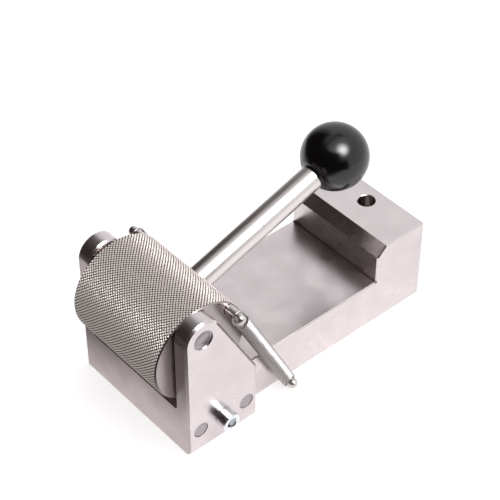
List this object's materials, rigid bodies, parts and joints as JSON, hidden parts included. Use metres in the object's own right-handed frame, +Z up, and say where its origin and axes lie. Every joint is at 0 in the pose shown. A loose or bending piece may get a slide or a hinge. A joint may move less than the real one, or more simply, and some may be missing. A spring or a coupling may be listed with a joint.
{
  "type": "tensile test grip",
  "caption": "Eccentric roller grip for tensile tests: a sprung, knurled roller on side plates clamps the sample on a flat steel jaw and is opened by a ball-ended lever.",
  "frame": {"origin": "centre of the flat back of the body, on which the grip lies", "axes": "+X along the pull towards the end that is hung in the machine, +Y across the jaw towards the far side, +Z up from the back towards the roller"},
  "size_m": [0.2134, 0.1158, 0.1329],
  "materials": {
    "ground_steel": "ground satin",
    "knurled_steel": "fine diamond knurl",
    "polished_steel": "polished",
    "pin_steel": "ground",
    "zinc_plated_steel": "bright zinc plate",
    "spring_wire": "drawn wire, close wound",
    "bronze": "sintered bronze",
    "black_phenolic": "glossy moulded",
    "brass": "turned"
  },
  "bodies": {
    "base": {"grip_body": "ground_steel", "near_side_plate": "ground_steel", "far_side_plate": "ground_steel", "near_cap_screw": "zinc_plated_steel", "far_cap_screw": "zinc_plated_steel", "near_left_dowel": "pin_steel", "near_right_dowel": "pin_steel", "far_left_dowel": "pin_steel", "far_right_dowel": "pin_steel", "pivot_shaft": "pin_steel", "near_anchor_pin": "pin_steel", "far_anchor_pin": "pin_steel"},
    "roller": {"eccentric_roller": "knurled_steel", "near_bushing": "bronze", "far_bushing": "bronze", "lever_rod": "polished_steel", "ball_knob": "black_phenolic", "knob_insert": "brass", "near_roller_pin": "pin_steel", "far_roller_pin": "pin_steel"},
    "near_spring": {"near_spring": "spring_wire"},
    "far_spring": {"far_spring": "spring_wire"}
  },
  "joints": [
    {"name": "lever_swing", "type": "hinge", "parent": "base", "child": "roller", "pos_m": [-0.0871, 0, 0.0877], "axis": [0, 1, 0], "range_deg": [-60, 0], "stiffness_Nm_per_rad": 0.66, "springref_deg": 71.05},
    {"name": "near_spring_stretch", "type": "slide", "parent": "base", "child": "near_spring", "axis": [-0.4439, 0, 0.8961], "range_m": [0, 0.02792], "deforming": ["near_spring"]},
    {"name": "far_spring_stretch", "type": "slide", "parent": "base", "child": "far_spring", "axis": [-0.4439, 0, 0.8961], "range_m": [0, 0.02792], "deforming": ["far_spring"]}
  ],
  "couplings": [
    {"joint": "near_spring_stretch", "follows": "lever_swing", "m_per_rad": -0.026571},
    {"joint": "far_spring_stretch", "follows": "lever_swing", "m_per_rad": -0.026571}
  ]
}
